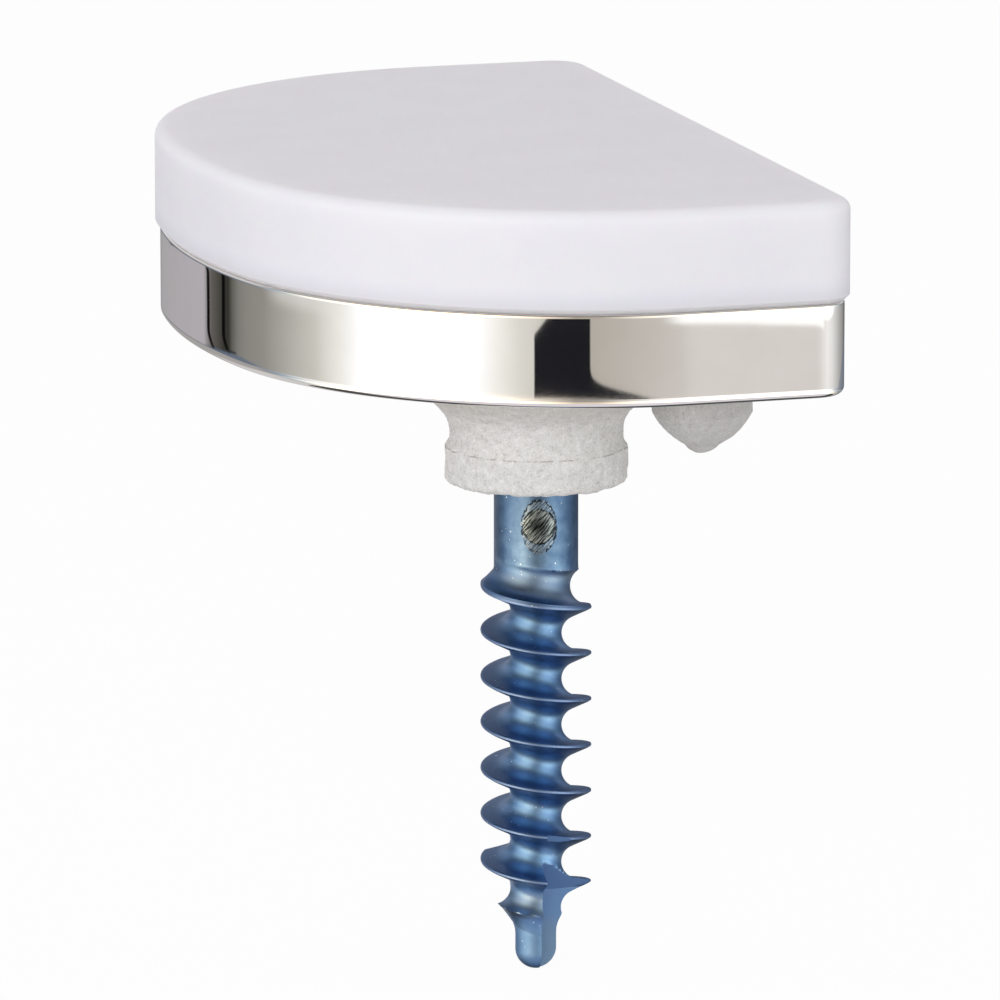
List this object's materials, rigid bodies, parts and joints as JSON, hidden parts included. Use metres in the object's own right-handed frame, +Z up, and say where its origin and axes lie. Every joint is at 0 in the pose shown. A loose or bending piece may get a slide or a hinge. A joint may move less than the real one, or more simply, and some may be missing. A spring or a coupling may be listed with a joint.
{
  "type": "unicompartmental knee tibial component",
  "caption": "D-shaped polished metal tray with a snapped-in polyethylene bearing, a porous-coated boss and peg below, and a bone screw through the boss.",
  "frame": {"origin": "on the screw axis, in the flat bone face under the tray", "axes": "+Z up from the bone face to the bearing face, +Y along the straight side towards the far end, +X towards the straight side"},
  "size_m": [0.033, 0.0547, 0.0466],
  "materials": {
    "polyethylene": "satin",
    "polished_alloy": "polished",
    "porous_layer": "matte",
    "blue_anodised": "satin"
  },
  "bodies": {
    "tray": {"tibial_tray": "polished_alloy", "porous_coating": "porous_layer", "bearing_insert": "polyethylene"},
    "screw": {"fixation_screw": "blue_anodised"}
  },
  "joints": [
    {"name": "screw_turn", "type": "hinge", "parent": "tray", "child": "screw", "pos_m": [0, 0, 0.00139], "axis": [0, 0, 1], "continuous": true}
  ]
}
